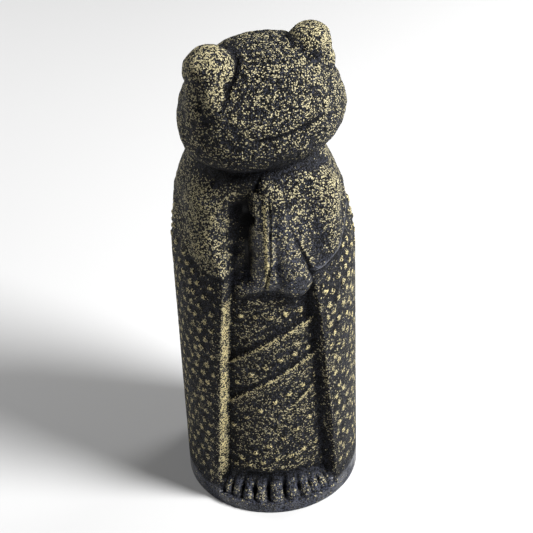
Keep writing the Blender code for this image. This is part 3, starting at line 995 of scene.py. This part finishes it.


# Several terms take gold away as painted shade: undersides, deep hollows, the shade under the hem and the
# folds, the chin's shadow, the creases and the mouth, the low robe and the jaw.
gold = weighed(
    GOLD_BASE,
    (0.24, proud), (1.3, dotted), (0.50, left_wall), (-0.22, sleeves), (0.6, palm_edge),
    (0.30, fold_lines), (0.16, left_arm), (-0.24, right_arm), (-0.07, on_head), (0.12, eyes),
    (-0.35, deep * (1.0 - foot_rim) * (1.0 - 0.5 * on_head)), (-0.25, below), (-0.22, foot_rim),
    (-0.35, hem_lip * ease(turn, -20.0, 20.0)), (-0.6, hem_shade), (-0.4, neck_shade),
    (-0.9, pressed), (-0.25, fold_shade), (-0.05, shaded_low_robe), (-0.05, shaded_jaw),
)
gloss = weighed(0.0, (1.0, polished_hem), (0.65, foot_rim), (0.5, hands * (1.0 - palm_edge)))
# Painted shade: a dark overlay in the creases and the mouth, under the hem and the folds, over the chest's
# hollows, between the toes, and in the shadows of the chin and the palms.
painted_shade = weighed(
    0.0,
    (0.9, pressed), (1.0, hem_shade), (0.5, neck_shade), (0.5, deep * chest),
    (0.85, shadow_beside_palms), (0.5, fold_shade), (0.5, shaded_toe_gaps),
)
print("mean gold", round(float(gold.mean()), 2), "and mean gloss", round(float(gloss.mean()), 2))

# %% [markdown]
# ## The mesh
#
# The grid's rows become rings of four-sided faces. Below the first ring the underside closes with two
# more rings and a point, and above the last one a point closes the crown. Whole arrays go into the
# mesh with foreach_set, which is many times faster than adding one face after another.

# %% Closing the grid
FOOT_ROUND = 0.4 * MM


def close_grid(grid):
    """Points and faces: underside centre, two flat rings, the grid's rows, and the crown's point."""
    tall, wide = grid.shape[:2]
    rim = grid[0] * np.array((1.0, 1.0, 0.0)) * (1.0 - FOOT_ROUND / RADIUS)
    crown = np.array([[0.0, 0.0, grid[-1, :, 2].max()]])
    points = np.concatenate((np.zeros((1, 3)), 0.5 * rim, rim, grid.reshape(-1, 3), crown))
    here = np.arange(wide)
    after = np.roll(here, -1)
    rings = 1 + wide * np.arange(tall + 1)[:, None]
    quads = np.stack((rings + here, rings + after, rings + wide + after, rings + wide + here), axis=2)
    top = 1 + wide * (tall + 1)
    base_fan = np.stack((np.zeros_like(here), 1 + after, 1 + here), axis=1)
    crown_fan = np.stack((top + here, top + after, np.full_like(here, len(points) - 1)), axis=1)
    return points, quads.reshape(-1, 4), np.concatenate((base_fan, crown_fan))


points, quads, triangles = close_grid(grid)
print(2 * len(quads) + len(triangles), "triangles")


# %% Filling the mesh
def fill_mesh(name, points, quads, triangles):
    """Puts whole arrays into a mesh: corners, then where each face starts among them."""
    mesh = bpy.data.meshes.new(name)
    corners = np.concatenate((quads.ravel(), triangles.ravel())).astype(np.int32)
    sizes = np.concatenate((np.full(len(quads), 4), np.full(len(triangles), 3)))
    starts = np.concatenate(((0,), np.cumsum(sizes)[:-1])).astype(np.int32)
    mesh.vertices.add(len(points))
    mesh.vertices.foreach_set("co", points.ravel())
    mesh.loops.add(len(corners))
    mesh.loops.foreach_set("vertex_index", corners)
    mesh.polygons.add(len(sizes))
    mesh.polygons.foreach_set("loop_start", starts)
    mesh.update(calc_edges=True)
    mesh.validate()
    mesh.shade_smooth()
    return mesh


def add_attribute(mesh, name, values, around):
    """A number for each vertex: the grid's own, with the same value under the foot and at the crown."""
    whole = np.concatenate((np.full(1 + 2 * around, values[0]), values, values[-1:]))
    layer = mesh.attributes.new(name, "FLOAT", "POINT")
    layer.data.foreach_set("value", whole.astype(np.float32))


mesh = fill_mesh("praying_frog", points, quads, triangles)
for name, values in (("gold", gold), ("gloss", gloss), ("painted_shade", painted_shade)):
    add_attribute(mesh, name, values, grid.shape[1])
frog = bpy.data.objects.new("praying_frog", mesh)
bpy.context.collection.objects.link(frog)
print("the mesh has", len(mesh.vertices), "vertices, each with a gold, a gloss and an ink value")

# %% [markdown]
# ## A socket that does sums
#
# Node materials are easier to read as sums than as wiring. The class below wraps an output socket, so
# that an expression such as a * 0.5 + b adds the Math nodes by itself. Everything that isn't a sum,
# such as a texture, comes from one method that takes the node's type, its settings and its sockets.

# %% A class for sockets
class Wire:
    """An output socket in a node tree, with + - * / that add Math nodes."""

    def __init__(self, tree, socket):
        self.tree = tree
        self.socket = socket

    def add(self, kind, settings, sockets, output=0):
        """Adds a node, sets its settings first, then gives its sockets values or links."""
        node = self.tree.nodes.new(kind)
        for name, value in settings.items():
            setattr(node, name, value)
        for key, value in sockets.items():
            if isinstance(value, Wire):
                self.tree.links.new(value.socket, node.inputs[key])
            else:
                node.inputs[key].default_value = value
        return Wire(self.tree, node.outputs[output])

    def math(self, operation, first, second):
        return self.add("ShaderNodeMath", {"operation": operation}, {0: first, 1: second})

    def __add__(self, other):
        return self.math("ADD", self, other)

    def __radd__(self, other):
        return self.math("ADD", other, self)

    def __sub__(self, other):
        return self.math("SUBTRACT", self, other)

    def __rsub__(self, other):
        return self.math("SUBTRACT", other, self)

    def __mul__(self, other):
        return self.math("MULTIPLY", self, other)

    def __rmul__(self, other):
        return self.math("MULTIPLY", other, self)

    def between(self, low, high):
        """0 below low, 1 above high and a smooth rise between, by a Map Range node."""
        settings = {"interpolation_type": "SMOOTHSTEP"}
        return self.add("ShaderNodeMapRange", settings, {"Value": self, "From Min": low, "From Max": high})

    def colours(self, low, high):
        """A mix of two colours, by this value."""
        settings = {"data_type": "RGBA"}
        return self.add("ShaderNodeMix", settings, {0: self, 6: low, 7: high}, output=2)


print("the class has", len([name for name in vars(Wire) if name.startswith("__r")]), "reflected operators")

# %% [markdown]
# ## Painted stone
#
# The grain is read in Object coordinates, so it has its true size: grains of about 0.7 mm with a finer
# sand between them, clumps of 3 mm where the brush caught, and patches of 11 mm where it was loaded or
# spent. Each grain has a chance of its own. It turns gold where the sum of that chance, of the noises
# and of the gold attribute passes a threshold, which gives the crisp speckle of dry paint, not a fade.
# The gaps between grains stay black, and the painted shade of creases, hollows and cast shadows darkens
# all. Polished places are painted a lighter blue-grey for their sheen. The same grains feed the bump, so
# that paint sits on those that stand up.

# %% Colours and grain sizes
DARK = (0.0012, 0.0013, 0.0016, 1.0)
SLATE = (0.0300, 0.0325, 0.0440, 1.0)
PALE_GOLD = (0.5600, 0.5000, 0.3050, 1.0)
RICH_GOLD = (0.7600, 0.6500, 0.3400, 1.0)
# The lighter blue-grey of polished places is a painted sheen; the polish itself is real wear.
POLISHED_SHEEN = (0.0850, 0.0930, 0.1300, 1.0)
OCHRE = (0.0800, 0.0700, 0.0420, 1.0)
GRAIN_SCALE = 1420.0
SAND_SCALE = 1900.0
CLUMP_SCALE = 300.0
PATCH_SCALE = 90.0
GRAIN_RIM = (0.58, 0.76)
PAINTED_FROM = (1.50, 1.56)
THIN_FROM = (1.30, 1.52)
BUMP_HEIGHT = 0.0010
SHEEN = 0.12
COAT_ROUGHNESS = 0.22


def attribute(start, name):
    """One of the numbers that the mesh holds for each vertex."""
    return start.add("ShaderNodeAttribute", {"attribute_name": name}, {}, output="Fac")


def channel(colour, name):
    """One channel of a colour, such as Red."""
    return colour.add("ShaderNodeSeparateColor", {}, {"Color": colour}, output=name)


print("the grains are", round(1000 / GRAIN_SCALE, 2), "mm apart")


# %% Material
def painted_stone():
    """Mixes dark stone and gold by a threshold of grain and attribute, paints polished places a lighter
    blue-grey for their sheen, darkens creases, hollows and cast shadows as painted shade, and bumps both by
    the grain.
    """
    material = bpy.data.materials.new("cast_stone_painted")
    material.use_nodes = True
    tree = material.node_tree
    shader = tree.nodes["Principled BSDF"]
    start = Wire(tree, None)
    place = start.add("ShaderNodeTexCoord", {}, {}, output="Object")
    gold, gloss, painted_shade = (attribute(start, name) for name in ("gold", "gloss", "painted_shade"))

    def noise(scale, detail):
        return start.add("ShaderNodeTexNoise", {}, {"Vector": place, "Scale": scale, "Detail": detail})

    grains = {"Vector": place, "Scale": GRAIN_SCALE}
    depth = start.add("ShaderNodeTexVoronoi", {}, grains, output="Distance")
    tint = start.add("ShaderNodeTexVoronoi", {}, grains, output="Color")
    chance = channel(tint, "Red")
    load = channel(tint, "Green")
    sand = noise(SAND_SCALE, 2.0)
    clump = noise(CLUMP_SCALE, 1.0)
    patch = noise(PATCH_SCALE, 1.0)
    reached = chance + sand * 0.5 + clump * 0.2 + patch * 0.2 + gold * 0.80
    on_grain = 1.0 - depth.between(*GRAIN_RIM)
    painted = reached.between(*PAINTED_FROM) * on_grain
    thin = reached.between(*THIN_FROM)
    stone_colour = (load.between(0.40, 0.95) * on_grain).colours(DARK, SLATE)
    # Painted sheen: polished places are mixed towards a lighter blue-grey.
    stone_colour = (gloss * load.between(0.10, 0.80) * on_grain).colours(stone_colour, POLISHED_SHEEN)
    worn = (thin * 0.15).colours(stone_colour, OCHRE)
    paint = gold.between(0.50, 0.95).colours(PALE_GOLD, RICH_GOLD)
    colour = (painted * (load * 0.4 + 0.6)).colours(worn, paint)
    # Painted shade: this mixes the colour towards DARK in creases, hollows and cast shadows.
    colour = (painted_shade * 0.95).colours(colour, DARK)
    rough = 0.62 + painted * 0.20 - gloss * 0.30
    heights = (1.0 - depth) * (0.7 - gloss * 0.45) + sand * 0.5 + clump * 0.5
    bumped = {"Height": heights, "Distance": BUMP_HEIGHT, "Strength": 1.0}
    normal = start.add("ShaderNodeBump", {}, bumped)
    coat = gloss * patch.between(0.35, 0.60)
    shader.inputs["Specular IOR Level"].default_value = SHEEN
    shader.inputs["Coat Roughness"].default_value = COAT_ROUGHNESS
    tree.links.new(coat.socket, shader.inputs["Coat Weight"])
    tree.links.new(colour.socket, shader.inputs["Base Color"])
    tree.links.new(rough.socket, shader.inputs["Roughness"])
    tree.links.new(normal.socket, shader.inputs["Normal"])
    return material


frog.data.materials.append(painted_stone())
print("the material has", len(frog.data.materials[0].node_tree.nodes), "nodes")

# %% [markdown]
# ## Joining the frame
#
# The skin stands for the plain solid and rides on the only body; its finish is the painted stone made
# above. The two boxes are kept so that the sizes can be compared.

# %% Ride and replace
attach(frog, "root")
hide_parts("frog_statue")
low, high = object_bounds()
print("the dressed box in millimetres:", [[round(v * 1000, 2) for v in corner] for corner in (low, high)])
